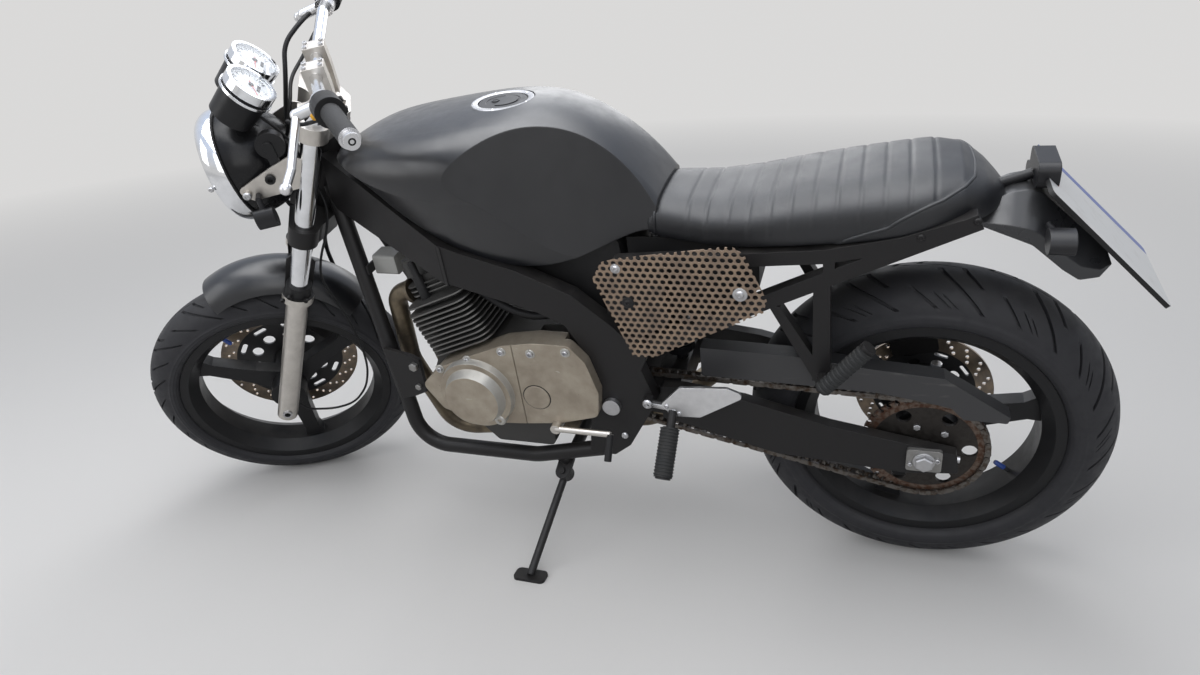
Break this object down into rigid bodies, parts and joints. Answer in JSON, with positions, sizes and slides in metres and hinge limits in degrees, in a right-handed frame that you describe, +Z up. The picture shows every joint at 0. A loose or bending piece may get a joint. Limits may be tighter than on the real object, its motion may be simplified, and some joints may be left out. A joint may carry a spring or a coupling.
{
  "type": "cafe racer motorcycle",
  "caption": "Naked road motorcycle with a flat black seat, satin black fuel tank and round headlight, leaning on its side stand with the steering turned to the left.",
  "frame": {"origin": "centre of the footprint of the parked motorcycle, on the ground", "axes": "+X forward, +Y to the rider's left, +Z up from the ground; the motorcycle leans to +Y"},
  "size_m": [1.9778, 0.6996, 1.1903],
  "materials": {
    "tyre_rubber": "matt rubber with a round tread",
    "wheel_paint": "satin black cast aluminium",
    "brake_steel": "turned steel, browned by heat",
    "sprocket_steel": "steel with light rust",
    "chain_steel": "oiled steel links",
    "bright_chrome": "polished chrome",
    "bare_aluminium": "satin aluminium",
    "axle_steel": "zinc plated steel",
    "tank_paint": "satin black paint with a cool sheen",
    "black_paint": "satin black paint",
    "header_steel": "steel pipes browned by heat",
    "filler_chrome": "machined aluminium",
    "lamp_glass": "clear glass",
    "black_plastic": "grained black plastic",
    "lamp_plastic": "smoked plastic",
    "grip_rubber": "ribbed rubber",
    "engine_grey": "dark engine enamel",
    "engine_silver": "satin silver brown casting",
    "silencer_steel": "brushed steel",
    "spring_enamel": "black enamelled spring",
    "peg_metal": "cast aluminium with rubber",
    "seat_vinyl": "black vinyl with sewn channels and piping",
    "mesh_bronze": "bronze perforated sheet"
  },
  "bodies": {
    "frame": {"frame_spars": "black_paint", "frame_cradle": "black_paint", "engine_case": "engine_grey", "cylinder_block": "engine_grey", "cylinder_head": "engine_grey", "left_cover": "engine_silver", "right_cover": "engine_silver", "intake": "black_plastic", "breather_hose": "grip_rubber", "ignition_coil": "black_plastic", "exhaust_pipes": "header_steel", "silencer": "silencer_steel", "swingarm": "black_paint", "swingarm_pivot": "axle_steel", "rear_shock": "spring_enamel", "rear_axle": "axle_steel", "rear_caliper": "black_paint", "chain": "chain_steel", "front_sprocket": "sprocket_steel", "chain_guard": "black_plastic", "subframe": "black_paint", "battery_box": "black_plastic", "footrests": "peg_metal", "foot_levers": "black_paint", "fuel_tank": "tank_paint", "filler_cap": "filler_chrome", "seat": "seat_vinyl", "side_panels": "mesh_bronze", "tail_fender": "black_plastic", "number_plate": "black_plastic", "rear_lights": "lamp_plastic"},
    "steering": {"fork_stanchions": "bright_chrome", "fork_sliders": "bare_aluminium", "front_axle": "axle_steel", "fork_yokes": "bare_aluminium", "fork_brace": "bare_aluminium", "front_mudguard": "tank_paint", "front_caliper": "black_paint", "headlight_bowl": "black_paint", "headlight_rim": "bright_chrome", "headlight_lens": "lamp_glass", "headlight_brackets": "bare_aluminium", "gauges": "black_plastic", "handlebar": "bright_chrome", "grips": "grip_rubber", "hand_controls": "black_plastic", "front_indicators": "lamp_plastic", "brake_hose": "grip_rubber", "speedo_cable": "black_plastic", "control_cables": "black_plastic", "horn": "black_plastic"},
    "front_wheel": {"front_tyre": "tyre_rubber", "front_rim": "wheel_paint", "front_disc": "brake_steel"},
    "rear_wheel": {"rear_tyre": "tyre_rubber", "rear_rim": "wheel_paint", "rear_disc": "brake_steel", "rear_sprocket": "sprocket_steel"},
    "side_stand": {"side_stand": "black_paint"}
  },
  "joints": [
    {"name": "steering_turn", "type": "hinge", "parent": "frame", "child": "steering", "pos_m": [0.44131, -0.0074, 0.80408], "axis": [-0.4181, 0.1628, 0.8937], "range_deg": [-62.4, 0]},
    {"name": "front_wheel_spin", "type": "hinge", "parent": "steering", "child": "front_wheel", "pos_m": [0.72409, -0.08244, 0.27644], "axis": [-0.4713, 0.8021, -0.3667], "continuous": true},
    {"name": "rear_wheel_spin", "type": "hinge", "parent": "frame", "child": "rear_wheel", "pos_m": [-0.67552, -0.0987, 0.30975], "axis": [-0.0009, 0.9837, -0.1797], "continuous": true},
    {"name": "side_stand_fold", "type": "hinge", "parent": "frame", "child": "side_stand", "pos_m": [0.01172, -0.00392, 0.15735], "axis": [0.1169, 0.6953, 0.7091], "range_deg": [0, 88]}
  ]
}
